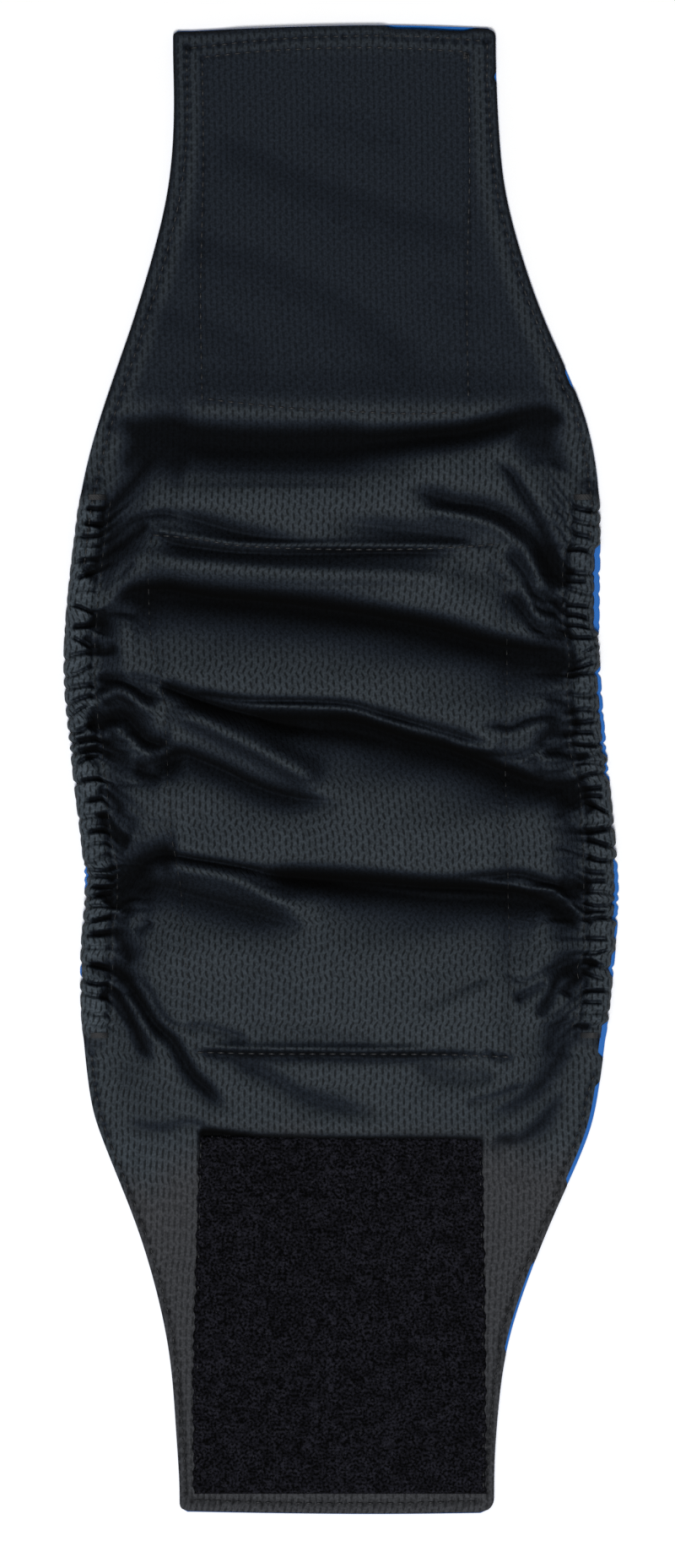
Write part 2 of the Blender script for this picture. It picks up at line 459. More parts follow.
SCALLOP_FULL, SCALLOP_PART = 0.38, 0.12
SCALLOP_WIDTH = 0.75
SCALLOP_OUT = 0.35
EDGE_ARM = 3.6


def scallop(y, made):
    """How far the edge is drawn in or bulges out at y, by the pleats."""
    out = np.zeros_like(y)
    for at, slant, depth, _, _, start, _ in made:
        pull = SCALLOP_FULL if start < 0 else SCALLOP_PART
        out -= pull * depth * np.exp(-(((y - at + EDGE_ARM * slant) / SCALLOP_WIDTH) ** 2))
    return out + SCALLOP_OUT * between(y, CHANNEL_END, CHANNEL_TOP, 6.0)


# ---------------------------------------------------------------- the surface


def crowded(count):
    """Shares across the band from -1 to 1, closer together at its edges."""
    t = np.linspace(-1, 1, count)
    return (1 - EDGE_CROWD) * t + EDGE_CROWD * np.sin(t * np.pi / 2)


def grid():
    """The rows' y, and the shell's left and right edge on each row."""
    rows = []
    for name, top, bottom, *_ in WINDOWS:
        count = int(round((top - bottom) / ROW_PITCH[name])) + 1
        rows.append(np.linspace(top, bottom, count)[:-1])
    y = np.concatenate(rows + [np.array([-BAND_END])])
    left = LEFT(y) - scallop(y, PLEATS["left"])
    right = RIGHT(y) + scallop(y, PLEATS["right"])
    from_end = BAND_END - np.abs(y)
    round_in = {}
    for side in ("left", "right"):
        corner = np.where(y > 0, CORNERS[side, "hook"], CORNERS[side, "loop"])
        inside = np.clip(corner - from_end, 0, corner)
        round_in[side] = corner - np.sqrt(np.maximum(corner**2 - inside**2, 0))
    return y, left + round_in["left"], right - round_in["right"]


ROWS_Y, SHELL_LEFT, SHELL_RIGHT = grid()
SHARE = crowded(COLUMNS)
LINING_LEFT = SHELL_LEFT + peek(ROWS_Y, PEEKS_LEFT)
LINING_RIGHT = SHELL_RIGHT - peek(ROWS_Y, PEEKS_RIGHT)


def spread(left, right, share):
    """x of each share on each row."""
    centre, half = (left + right) / 2, (right - left) / 2
    return centre[:, None] + half[:, None] * share[None, :]


HOOK_BOW_LEFT, HOOK_BOW_RIGHT, BOW_CURVE, LOOP_BOW_SHARE = 1.7, 1.0, 1.6, 0.4


def crowned(x, y):
    """The ends bow out a little: y of a point, drawn in towards the end's corners."""
    to_left, to_right = np.clip((x - 8) / -52, 0, 1), np.clip((x - 12) / 34, 0, 1)
    bow = HOOK_BOW_LEFT * to_left**BOW_CURVE + HOOK_BOW_RIGHT * to_right**BOW_CURVE
    return y - bow * smooth((y - 200) / 20) + LOOP_BOW_SHARE * bow * smooth((-y - 205) / 15)


def ripples(x, y, count, low, high, height, seed):
    """Soft random waves between two lengths, as cloth has that was once folded."""
    rand = np.random.default_rng(seed)
    z = np.zeros_like(x)
    for _ in range(count):
        length, turn, phase = rand.uniform(low, high), rand.uniform(-0.5, 0.5), rand.uniform(0, 6.28)
        k = 2 * math.pi / length
        z += np.sin(k * (y * math.cos(turn) + x * math.sin(turn)) + phase)
    return height * z / math.sqrt(count)


# How the lining stands before its folds: where the stiff hook tab starts, how an edge rounds off, how far
# in the padding swells, a channel's squarish tube and its fall to the seam, and where the pad lies.
STIFF_FROM, STIFF_EASE = 96, 10
EDGE_ROUND = 2.2
LOFT_FROM, LOFT_EASE = 2, 26
TUBE_HALF, TUBE_FALL, TUBE_SQUARE = 4.4, 4.2, 4
PAD_LEFT, PAD_RIGHT, PAD_EASE = -54, 48, 13.0
PAD_RISE, PAD_CURVE = 13, 0.8
BED_LEAST, BED_RIM, BED_PAD = 1.0, 0.4, 0.8
ROOM_LEAST, BED_SOFT, SINK_LEAST = 0.5, 0.5, 2.5


def lining_heights(x, y, left, right):
    """The lining's height at each point, its gap to the side and to the rim, and how sunk it is."""
    edge = np.minimum(x - left[:, None], right[:, None] - x)
    rim = np.minimum(edge, BAND_END - np.abs(y))
    gathered = between(y, CHANNEL_END - 2, CHANNEL_TOP + 3, 9.0)

    tab = LINING_Z + (TAB_Z - LINING_Z) * smooth((y - STIFF_FROM) / STIFF_EASE)
    py, pz = np.array(PROFILE[::-1]).T
    loft = blur(np.interp(ROWS_Y, py, pz)[:, None], 3)
    flat = SEAM_Z + (tab - SEAM_Z) * np.sqrt(1 - (1 - np.clip(rim / EDGE_ROUND, 0, 1)) ** 2)
    flat = flat + (loft - tab) * smooth((edge - LOFT_FROM) / LOFT_EASE)

    bulge = np.clip(TUBE_HALF - edge, 0, TUBE_HALF) / TUBE_HALF
    tube = SEAM_Z + CHANNEL_RISE * np.sqrt(np.clip(1 - bulge**TUBE_SQUARE, 0, 1))
    fall = np.clip((edge - TUBE_HALF) / TUBE_FALL, 0, 1)
    tube = tube - (SEAM_Z + CHANNEL_RISE - CHANNEL_FLOOR) * fall**2
    on_pad = OFF_PAD + (1 - OFF_PAD) * between(x, PAD_LEFT, PAD_RIGHT, PAD_EASE)
    inward = np.clip((edge - CHANNEL_WIDTH + 0.5) / PAD_RISE, 0, 1)
    panel = CHANNEL_FLOOR + (loft - CHANNEL_FLOOR) * on_pad * smooth(inward) ** PAD_CURVE
    middle = np.where(edge < CHANNEL_WIDTH - 0.4, tube, panel)
    z = flat + (middle - flat) * gathered

    z += ripples(x, y, 9, 14, 34, 0.35, 3) * between(y, -100, 96, 10.0) * smooth((edge - 8) / 8)
    folds = np.zeros_like(z)
    for fold in FOLDS:
        crease(x, y, folds, *fold)
    plain = z.copy()
    bed = BED_LEAST + BED_RIM * smooth(rim / 2) + BED_PAD * smooth((edge - 10) / 10)
    folds *= smooth((edge - 0.5) / 5.0)
    room = np.maximum(plain - bed, ROOM_LEAST)
    z = np.where(folds > 0, plain + folds, bed + room * np.exp(np.minimum(folds, 0) / room))
    z += gathers(x, y, "left", left, 1) + gathers(x, y, "right", right, -1)
    z = under_patch(x, y, z)
    z = bed + BED_SOFT * np.logaddexp(0, (z - bed) / BED_SOFT)
    sunk = np.clip((plain - z) / np.maximum(plain - bed, SINK_LEAST), 0, 1)
    return z, edge, rim, sunk


CREST = 8.0
FAN_REACH, FAN_SPREAD, FAN_DEPTH = 26, 0.16, 0.42
LIP_RISE, LIP_AT = 0.35, 2.2


def gathers(x, y, side, edges, sign):
    """The channel's pleats, and the small folds that run on from them into the panel and fan out."""
    away = sign * (x - edges[:, None])
    table = np.array(sorted(FANS[side]))
    made = np.array(sorted(PLEATS[side]))
    past = np.clip(away - CREST, 0, FAN_REACH)
    at = y.copy()
    for _ in range(3):
        at = y - np.interp(at, table[:, 0], table[:, 1]) * past
    middle = (made[1:, 0] + made[:-1, 0]) / 2
    k = np.searchsorted(middle, at)
    place, slant, depth, width, length, start, bow = (made[k, c] for c in range(7))
    across = np.clip(away, 0, CREST) - CREST / 2
    curve = bow * (1 - (across / (CREST / 2)) ** 2)
    d = np.abs(at - (place + slant * across * (1 - past / FAN_REACH) + curve))
    wide = width * (1 + FAN_SPREAD * past)
    fade = np.where(away < CREST + 0.5, 1.0, FAN_DEPTH * np.exp(-((past / length) ** 1.5)))
    fade = fade * smooth((away + 0.5 - start) / 1.6)
    fade = fade * between(at, CHANNEL_END + 1, CHANNEL_TOP - 1, 6.0)
    dip = -depth * np.exp(-((d / wide) ** 1.15))
    return (dip + LIP_RISE * depth * np.exp(-((d / wide - LIP_AT) ** 2))) * fade


LIP = [(-44, -106), (-38, -106), (-23, -108), (6, -108.6), (30, -108.6), (44, -109)]


ROLL_HEIGHT, ROLL_AT, ROLL_WIDTH = 0.9, 3.0, 3.5


def under_patch(x, y, z):
    """The lining rolls over the loop patch's top edge, and lies flat under it."""
    lx, ly = np.array(LIP).T
    edge_y = np.interp(x, lx, ly)
    left, right = loop_outline(y)
    inside = smooth((x - left + 0.2) / 1.2) * smooth((right + 0.2 - x) / 1.2) * smooth(edge_y - y)
    over = between(x, LOOP_LOW[0] - 2, LOOP_HIGH[0] + 2, 8.0)
    roll = ROLL_HEIGHT * over * np.exp(-(((y - edge_y - ROLL_AT) / ROLL_WIDTH) ** 2))
    return (z + roll) * (1 - inside) + LINING_Z * inside


def loop_outline(y):
    """The pile's left and right edge at y: the patch was sewn on a little skewed."""
    left = np.interp(y, [-214, -180, -147, -107], [-43.7, -44.0, -43.0, -42.0])
    right = np.interp(y, [-214, -160, -112, -107], [42.8, 42.6, 41.8, 41.5])
    return left, right


GRID_X = spread(LINING_LEFT, LINING_RIGHT, SHARE)
GRID_Y = np.repeat(ROWS_Y[:, None], COLUMNS, axis=1)
HEIGHT, EDGE_GAP, RIM_GAP, SUNK = lining_heights(GRID_X, GRID_Y, LINING_LEFT, LINING_RIGHT)


def along_edge(side, inset, top, bottom, pitch=6.0):
    """A route along the lining's edge, so far inside it."""
    n = int(abs(top - bottom) / pitch) + 1
    ys = np.linspace(top, bottom, n)
    edge = np.interp(ys, ROWS_Y[::-1], (LINING_LEFT if side == "left" else LINING_RIGHT)[::-1])
    return [(e + (inset if side == "left" else -inset), y) for e, y in zip(edge, ys)]


HOOK_L, HOOK_B, HOOK_R, HOOK_T = HOOK_LOW[0], HOOK_LOW[1], HOOK_HIGH[0], HOOK_HIGH[1]
# Rows of machine stitches and their routes. They press a dotted groove into the cloth.
STITCHES = {
    "hook_tab_topstitch_left": along_edge("left", 4.0, 215, 60),
    "hook_tab_topstitch_right": along_edge("right", 2.6, 216, 66),
    "hook_tab_topstitch_end": [(-45, 214.6), (-20, 216.4), (10, 216.9), (30, 216.7), (43, 216)],
    "hook_patch_stitch_left": [
        (HOOK_L, HOOK_T - 1), (HOOK_L + 0.3, 180), (HOOK_L - 0.5, 140), (HOOK_L, 108)],
    "hook_patch_stitch_right": [
        (HOOK_R, HOOK_T), (HOOK_R + 0.4, 180), (HOOK_R - 0.4, 140), (HOOK_R, 107)],
    "hook_patch_stitch_end": [(HOOK_L, 211.5), (-20, 213), (10, 213.4), (HOOK_R, 212.6)],
    "hook_patch_stitch_inner": [
        (-40, 109.5), (-32, 108.4), (-14, 106.6), (4, 105.6), (21, 105), (37, 105.4)],
    "channel_stitch_left": along_edge("left", 9.2, 80, -77),
    "channel_stitch_right": along_edge("right", 9.2, 80, -77),
    "pad_stitch_top": [(-56, 69.2), (-43, 68), (-30, 66), (-8, 65), (15, 64.9), (32, 65.4), (46, 66.4)],
    "pad_stitch_left": [
        (-56, 69), (-57, 55), (-56, 38), (-52.5, 22), (-51.5, 6), (-50.5, -16), (-47.5, -34), (-46, -55),
        (-44.5, -70), (-43, -83)],
    "pad_stitch_right": [
        (46, 66), (48.5, 50), (49, 30), (48.5, 5), (49, -20), (49.5, -45), (50, -65), (50, -84)],
    "pad_stitch_bottom": [(-43, -83.3), (-20, -83.8), (5, -83.8), (30, -84), (50, -84.8)],
    "loop_tab_topstitch_left": along_edge("left", 1.9, -84, -216),
    "loop_tab_topstitch_right": along_edge("right", 1.9, -90, -216),
    "loop_tab_topstitch_end": [(-44, -216.6), (-20, -217), (10, -217), (42, -216.6)],
}
STITCH_PITCH = 3.0
FAINT = {"pad_stitch_left", "pad_stitch_right", "channel_stitch_left", "channel_stitch_right"}


PRESS_STEP = 0.4
PRESS_WIDTH, PRESS_CURVE, DOT_WIDTH = 0.85, 1.5, 0.8
FAINT_BEAT, PATCH_BEAT = 0.35, 0.6
ROUTE_PART = 64


def press_stitches(x, y, z):
    """Presses the rows of stitches into the heights z; returns how dark each row's dots are."""
    dots = np.zeros_like(z)
    for name, points in STITCHES.items():
        line = route(points, PRESS_STEP)
        low, high = line.min(0) - 3, line.max(0) + 3
        near = (x > low[0]) & (x < high[0]) & (y > low[1]) & (y < high[1])
        px, py = x[near], y[near]
        keep = np.full(px.shape, 9.0)
        which = np.zeros(px.shape, int)
        for start in range(0, len(line), ROUTE_PART):
            part = line[start : start + ROUTE_PART]
            square = (px[:, None] - part[:, 0]) ** 2 + (py[:, None] - part[:, 1]) ** 2
            k = square.argmin(1)
            d = np.sqrt(square[np.arange(len(k)), k])
            closer = d < keep
            keep[closer], which[closer] = d[closer], k[closer] + start
        faint = name in FAINT
        beat = 0.5 + 0.5 * np.cos(which * PRESS_STEP * 2 * math.pi / STITCH_PITCH)
        beat *= FAINT_BEAT if faint else PATCH_BEAT if name.startswith("hook_patch") else 1.0
        z[near] -= (0.25 + 0.75 * beat**2) * np.exp(-((keep / PRESS_WIDTH) ** PRESS_CURVE))
        dark = (0.7 * beat + (0.0 if faint else 0.3)) * np.exp(-((keep / DOT_WIDTH) ** 2))
        dots[near] = np.maximum(dots[near], dark)
    return dots


STITCH_DOTS = press_stitches(GRID_X, GRID_Y, HEIGHT)
HEIGHT = blur(HEIGHT, 0.55, 0.6)
# Near the hook end's right corner the blue shell shows above the lining.
END_PEEK_SIZE, END_PEEK_FROM, END_PEEK_TO = 0.9, 14, 38
END_PEEK = END_PEEK_SIZE * between(GRID_X, END_PEEK_FROM, END_PEEK_TO, 5.0) * smooth((GRID_Y - 208) / 12)
FINAL_Y = crowned(GRID_X, GRID_Y) - END_PEEK


# ---------------------------------------------------------------- how open each spot is

RASTER = 0.7
RX = np.arange(-84, 84.5, RASTER)
RY = np.arange(-221, 221.5, RASTER)


def bilinear(field, row, column):
    """A field read between its rows and columns."""
    i = np.clip(row.astype(int), 0, field.shape[0] - 2)
    j = np.clip(column.astype(int), 0, field.shape[1] - 2)
    f, g = row - i, column - j
    return (
        field[i, j] * (1 - f) * (1 - g) + field[i + 1, j] * f * (1 - g)
        + field[i, j + 1] * (1 - f) * g + field[i + 1, j + 1] * f * g
    )


def sample(field, x, y):
    """A field over the lining's grid, read at any x and y."""
    x, y = np.asarray(x, float), np.asarray(y, float)
    row = np.interp(-y, -ROWS_Y, np.arange(len(ROWS_Y)))
    i = np.clip(row.astype(int), 0, len(ROWS_Y) - 2)
    f = row - i
    left = LINING_LEFT[i] * (1 - f) + LINING_LEFT[i + 1] * f
    right = LINING_RIGHT[i] * (1 - f) + LINING_RIGHT[i + 1] * f
    share = np.clip((x - left) / (right - left) * 2 - 1, -1, 1)
    return bilinear(field, row, np.interp(share, SHARE, np.arange(COLUMNS)))


SKY_TURNS = 12
SKY_FAR = (1.5, 2.5, 4, 6, 9, 13, 18)


def openness():
    """How much sky each point of the lining sees, from 0 to 1."""
    gx, gy = np.meshgrid(RX, RY)
    z = sample(HEIGHT, gx, gy)
    total = np.zeros_like(z)
    for k in range(SKY_TURNS):
        a = 2 * math.pi * k / SKY_TURNS
        steepest = np.zeros_like(z)
        for far in SKY_FAR:
            sx, sy = int(round(far * math.cos(a) / RASTER)), int(round(far * math.sin(a) / RASTER))
            moved = np.roll(np.roll(z, -sy, 0), -sx, 1)
            steepest = np.maximum(steepest, (moved - z) / (math.hypot(sx, sy) * RASTER))
        total += 1 / (1 + steepest**2)
    sky = blur(total / SKY_TURNS, 0.6, 0.6)
    row, column = np.interp(GRID_Y, RY, np.arange(len(RY))), np.interp(GRID_X, RX, np.arange(len(RX)))
    return bilinear(sky, row, column)


SKY = openness()


def normals_of(x, y, z):
    """The upward normal at each point of a surface."""
    p = np.stack([x, y, z], -1)
    across, down = np.gradient(p, axis=1), np.gradient(p, axis=0)
    n = np.cross(across, -down)
    n /= np.linalg.norm(n, axis=-1)[..., None]
    return np.where(n[..., 2:3] < 0, -n, n)


def arc_lengths(x, y, z):
    """Cloth coordinates in mm: how far over the cloth each point is, across and along."""
    p = np.stack([x, y, z], -1)
    step = np.linalg.norm(np.diff(p, axis=1), axis=-1)
    u = np.concatenate([np.zeros((len(x), 1)), np.cumsum(step, 1)], 1)
    u -= u[:, [COLUMNS // 2]]
    step = np.linalg.norm(np.diff(p, axis=0), axis=-1)
    v = -np.concatenate([np.zeros((1, x.shape[1])), np.cumsum(step, 0)], 0)
    return u, v


NORMALS = normals_of(GRID_X, FINAL_Y, HEIGHT)
U, V = arc_lengths(GRID_X, FINAL_Y, blur(HEIGHT, 3, 3))

# How much the sky, the slope, the depth under a roll and the stitches darken the lining, how light a
# channel's crests are on either side, and how dark the hook tab is, at its rim and inside.
SKY_GAIN, SLOPE_LEFT = 1.04, 0.15
SUNK_DARK, SUNK_GAIN = 0.92, 1.12
DOT_DARK = 0.62
CREST_TONE, CREST_SHARE = (1.75, 1.35), 0.78
RIM_TONE, RIM_SUNK = 0.95, 0.8
TAB_DARK, TAB_INNER_DARK, LOOP_TAB_LIGHT = 0.25, 0.28, 0.12
TAB_AT = 104


def lining_tone():
    """How dark each point of the lining is, from the shape of the cloth alone."""
    tone = np.clip(SKY * SKY_GAIN, 0, 1) ** 3 * (SLOPE_LEFT + (1 - SLOPE_LEFT) * NORMALS[..., 2] ** 3)
    tone *= 1 - SUNK_DARK * smooth(SUNK * SUNK_GAIN)
    channel = between(GRID_Y, CHANNEL_END, CHANNEL_TOP, 8.0)
    round_edge = channel * (1 - smooth((EDGE_GAP - 1.0) / 2.0))
    tone = np.maximum(tone, RIM_TONE * round_edge * (1 - RIM_SUNK * smooth(SUNK * 1.5)))
    tone *= 1 - DOT_DARK * STITCH_DOTS * (0.65 + ripples(GRID_X, GRID_Y, 8, 9, 40, 0.35, 11))
    inner = smooth((RIM_GAP - 6) / 4)
    in_channel = channel * (1 - smooth((EDGE_GAP - 7) / 5))
    crest = np.where(GRID_X < 0, *CREST_TONE)
    tone = tone + (crest - tone) * CREST_SHARE * in_channel * smooth((tone - 0.1) / 0.45)
    hook_tab, loop_tab = smooth((GRID_Y - TAB_AT) / 8), smooth((-GRID_Y - TAB_AT) / 8)
    return tone * (1 - (TAB_DARK + TAB_INNER_DARK * inner) * hook_tab + LOOP_TAB_LIGHT * loop_tab)


TONE = lining_tone()


# ---------------------------------------------------------------- meshes and materials


def make_mesh(name, points, faces, material, uv=None, tone=None, normals=None):
    """A smooth object from points in mm."""
    mesh = bpy.data.meshes.new(name)
    mesh.from_pydata((np.asarray(points, float) * MM).tolist(), [], np.asarray(faces).tolist())
    mesh.polygons.foreach_set("use_smooth", np.ones(len(mesh.polygons), bool))
    corners = np.zeros(len(mesh.loops), np.int32)
    mesh.loops.foreach_get("vertex_index", corners)
    if uv is not None:
        layer = mesh.uv_layers.new(name="cloth")
        layer.data.foreach_set("uv", np.asarray(uv, np.float32)[corners].ravel())
    if tone is not None:
        attribute = mesh.attributes.new("tone", "FLOAT", "POINT")
        attribute.data.foreach_set("value", np.asarray(tone, np.float32))
    mesh.materials.append(material)
    mesh.update()
    if normals is not None:
        mesh.normals_split_custom_set_from_vertices(np.asarray(normals, float).tolist())
    obj = bpy.data.objects.new(name, mesh)
    bpy.context.scene.collection.objects.link(obj)
    return obj


def quads(rows, columns, wrap=False):
    """The faces of a grid of points, closed round its columns if it wraps."""
    i, j = np.meshgrid(np.arange(rows - 1), np.arange(columns if wrap else columns - 1), indexing="ij")
    right = (j + 1) % columns
    return np.stack(
        [i * columns + j, (i + 1) * columns + j, (i + 1) * columns + right, i * columns + right], -1
    ).reshape(-1, 4)


class Nodes:
    """A material's node tree, with short ways to add nodes."""

    def __init__(self, name):
        self.material = bpy.data.materials.new(name)
        self.material.use_nodes = True
        self.tree = self.material.node_tree
        self.tree.nodes.clear()
        self.out = self.add("ShaderNodeOutputMaterial")
        self.shader = self.add("ShaderNodeBsdfPrincipled")
        self.tree.links.new(self.shader.outputs[0], self.out.inputs[0])

    def add(self, kind, **values):
        node = self.tree.nodes.new(kind)
        for key, value in values.items():
            setattr(node, key, value)
        return node

    def plug(self, node, socket, value):
        if isinstance(value, bpy.types.NodeSocket):
            self.tree.links.new(value, node.inputs[socket])
        else:
            node.inputs[socket].default_value = value

    def math(self, operation, a, b=0.0, c=0.0):
        node = self.add("ShaderNodeMath", operation=operation)
        self.plug(node, 0, a)
        self.plug(node, 1, b)
        self.plug(node, 2, c)
        return node.outputs[0]

    def uv(self):
        """u and v of the cloth, in mm."""
        split = self.add("ShaderNodeSeparateXYZ")
        self.plug(split, 0, self.add("ShaderNodeUVMap", uv_map="cloth").outputs[0])
        return split.outputs[0], split.outputs[1]

    def tone(self):
        return self.add("ShaderNodeAttribute", attribute_name="tone").outputs["Fac"]

    def noise(self, scale, detail=3.0, where=None):
        node = self.add("ShaderNodeTexNoise")
        self.plug(node, "Scale", scale)
        self.plug(node, "Detail", detail)
        self.plug(node, "Vector", where or self.add("ShaderNodeTexCoord").outputs["Object"])
        return node.outputs["Fac"]

    def step(self, value, low, high, to_low=0.0, to_high=1.0):
        node = self.add("ShaderNodeMapRange", interpolation_type="SMOOTHSTEP")
        for socket, v in zip(("Value", "From Min", "From Max", "To Min", "To Max"),
                             (value, low, high, to_low, to_high)):
            self.plug(node, socket, v)
        return node.outputs[0]

    def mix(self, factor, a, b):
        node = self.add("ShaderNodeMix", data_type="RGBA")
        self.plug(node, 0, factor)
        self.plug(node, 6, a)
        self.plug(node, 7, b)
        return node.outputs[2]

    def shade(self, colour, amount):
        """A colour made darker by an amount from 0, black, to 1."""
        node = self.add("ShaderNodeVectorMath", operation="SCALE")
        self.plug(node, 0, colour[:3] if isinstance(colour, tuple) else colour)
        self.plug(node, 3, amount)
        return node.outputs[0]

    def bump(self, height, strength, depth):
        node = self.add("ShaderNodeBump")
        self.plug(node, "Strength", strength)
        self.plug(node, "Distance", depth)
        self.plug(node, "Height", height)
        self.plug(self.shader, "Normal", node.outputs[0])

    def finish(self, colour, roughness, **sockets):
        self.plug(self.shader, "Base Color", colour)
        self.plug(self.shader, "Roughness", roughness)
        for name, value in sockets.items():
            self.plug(self.shader, name.replace("_", " "), value)
        return self.material


HOLE_PITCH_U, HOLE_PITCH_V = 1.75, 3.2
HOLE_HALF_U, HOLE_HALF_V = 0.34, 1.35
HOLE_SOFT_IN, HOLE_SOFT_OUT = 0.55, 1.25


def mesh_holes(n):
    """A mask of the bird's-eye knit: upright oval holes in columns, each half a step below the last."""
    u, v = n.uv()
    across = n.math("DIVIDE", u, HOLE_PITCH_U)
    odd = n.math("MULTIPLY", n.math("FLOORED_MODULO", n.math("FLOOR", across), 2.0), 0.5)
    down = n.math("ADD", n.math("DIVIDE", v, HOLE_PITCH_V), odd)
    square = []
    for at, pitch, half in ((across, HOLE_PITCH_U, HOLE_HALF_U), (down, HOLE_PITCH_V, HOLE_HALF_V)):
        off = n.math("MULTIPLY", n.math("SUBTRACT", n.math("FRACT", at), 0.5), pitch / half)
        square.append(n.math("POWER", off, 2.0))
    from_middle = n.math("SQRT", n.math("ADD", *square))
    return n.step(from_middle, HOLE_SOFT_IN, HOLE_SOFT_OUT, 1.0, 0.0)


LINING_DARK, LINING_LIGHT = (0.0218, 0.0283, 0.0355, 1), (0.0292, 0.0368, 0.0438, 1)
LINING_SHADED = (0.021, 0.029, 0.043, 1)
LINING_LOOP_TAB = (0.031, 0.0325, 0.0365, 1)


def lining_material():
    n = Nodes("lining_mesh")
    holes = mesh_holes(n)
    cloudy = n.noise(35.0, 3.0)
    grain = n.noise(1400.0, 2.0)
    thread = n.mix(cloudy, LINING_DARK, LINING_LIGHT)
    thread = n.mix(n.step(n.tone(), 0.3, 0.9, 0.0, 1.0), LINING_SHADED, thread)
    _, v = n.uv()
    tab_low, tab_high = LOOP_TAB_V - 12, LOOP_TAB_V + 6
    thread = n.mix(n.step(v, tab_low, tab_high, 1.0, 0.0), thread, LINING_LOOP_TAB)
    lit = n.math("MULTIPLY", n.tone(), n.step(grain, 0.25, 0.75, 0.6, 1.3))
    # A hole keeps this share of the thread's colour: more in a crease, and on the loop tab.
    kept = n.step(n.tone(), 0.3, 0.95, 0.75, 0.3)
    kept = n.math("MAXIMUM", kept, n.step(v, tab_low, tab_high, 0.55, 0.0))
    open_ = n.math("ADD", 1.0, n.math("MULTIPLY", holes, n.math("SUBTRACT", kept, 1.0)))
    colour = n.shade(thread, n.math("MULTIPLY", lit, open_))
    n.bump(n.math("SUBTRACT", n.math("MULTIPLY", grain, 0.3), holes), 0.6, 0.00025)
    return n.finish(colour, n.step(n.tone(), 0, 1, 0.95, 0.66), Specular_IOR_Level=0.08)


SHELL_DARK, SHELL_LIGHT = (0.005, 0.110, 0.44, 1), (0.010, 0.155, 0.54, 1)
TWILL_PITCH = 0.7


def shell_material():
    n = Nodes("shell_nylon")
    u, v = n.uv()
    twill = n.math("SINE", n.math("MULTIPLY", n.math("ADD", u, v), 2 * math.pi / TWILL_PITCH))
    cloudy = n.noise(60.0, 3.0)
    colour = n.mix(cloudy, SHELL_DARK, SHELL_LIGHT)
    colour = n.shade(colour, n.step(twill, -1, 1, 0.8, 1.0))
    n.bump(twill, 0.35, 0.0001)
    return n.finish(colour, n.step(cloudy, 0.3, 0.7, 0.5, 0.65), Specular_IOR_Level=0.4)


def thread_material(name, dark, light):
    n = Nodes(name)
    twist = n.add("ShaderNodeTexWave", wave_type="BANDS", bands_direction="DIAGONAL")
    n.plug(twist, "Scale", 900.0)
    n.plug(twist, "Distortion", 1.5)
    n.plug(twist, "Vector", n.add("ShaderNodeTexCoord").outputs["Object"])
    n.bump(twist.outputs["Fac"], 0.5, 0.0001)
    return n.finish(n.mix(twist.outputs["Fac"], dark, light), 0.6)


def pile_material(name, base):
    n = Nodes(name)
    curl = n.noise(1300.0, 4.0)
    clump = n.noise(380.0, 3.0)
    amount = n.math("MULTIPLY", n.step(curl, 0.35, 0.7, 0.02, 2.1), n.step(clump, 0.3, 0.7, 0.55, 1.35))
    colour = n.shade(base, amount)
    n.bump(curl, 0.9, 0.0006)
    return n.finish(colour, 0.9, Specular_IOR_Level=0.05)


HOOK_DARK, HOOK_LIGHT = (0.010, 0.011, 0.013, 1), (0.02, 0.022, 0.025, 1)


def hook_material():
    n = Nodes("hook_nylon")
    fine = n.noise(500.0, 2.0)
    n.bump(fine, 0.3, 0.0001)
    return n.finish(n.mix(fine, HOOK_DARK, HOOK_LIGHT), n.step(fine, 0.3, 0.7, 0.35, 0.5))


def soft_material(name, dark, light, roughness, scale, wave=False):
    n = Nodes(name)
    fibre = n.noise(scale, 5.0)
    if wave:
        ribs = n.add("ShaderNodeTexWave", wave_type="BANDS", bands_direction="Y")
        n.plug(ribs, "Scale", 300.0)
        n.plug(ribs, "Vector", n.add("ShaderNodeTexCoord").outputs["Object"])
        fibre = n.math("MULTIPLY", fibre, ribs.outputs["Fac"])
    n.bump(fibre, 0.5, 0.0004)
    return n.finish(n.mix(fibre, dark, light), roughness)


FLOOR_DARK, FLOOR_LIGHT = (0.93, 0.93, 0.93, 1), (0.95, 0.95, 0.95, 1)


def floor_material():
    n = Nodes("floor_white")
    return n.finish(n.mix(n.noise(40.0, 2.0), FLOOR_DARK, FLOOR_LIGHT), 0.8, Specular_IOR_Level=0.1)


LOOP_TAB_V = float(np.interp(108.0, -ROWS_Y, V[:, COLUMNS // 2]))
LINING = lining_material()
SHELL = shell_material()
THREAD = thread_material("thread_black", (0.004, 0.005, 0.006, 1), (0.010, 0.011, 0.014, 1))
SUNK_THREAD = thread_material("thread_sunk", (0.002, 0.0025, 0.003, 1), (0.005, 0.006, 0.007, 1))
PILE = pile_material("loop_pile", (0.0054, 0.0054, 0.0078, 1))
PILE_TIPS = pile_material("loop_pile_tips", (0.0150, 0.0152, 0.0180, 1))
HOOK = hook_material()
CORE = soft_material("core_fleece", (0.72, 0.72, 0.70, 1), (0.85, 0.85, 0.83, 1), 0.95, 500.0)
BARRIER = soft_material("barrier_film", (0.55, 0.60, 0.66, 1), (0.70, 0.74, 0.78, 1), 0.35, 200.0)
BRAID_DARK, BRAID_LIGHT = (0.018, 0.018, 0.019, 1), (0.055, 0.055, 0.058, 1)
ELASTIC = soft_material("elastic_braid", BRAID_DARK, BRAID_LIGHT, 0.8, 300.0, wave=True)


# ---------------------------------------------------------------- cloth pieces


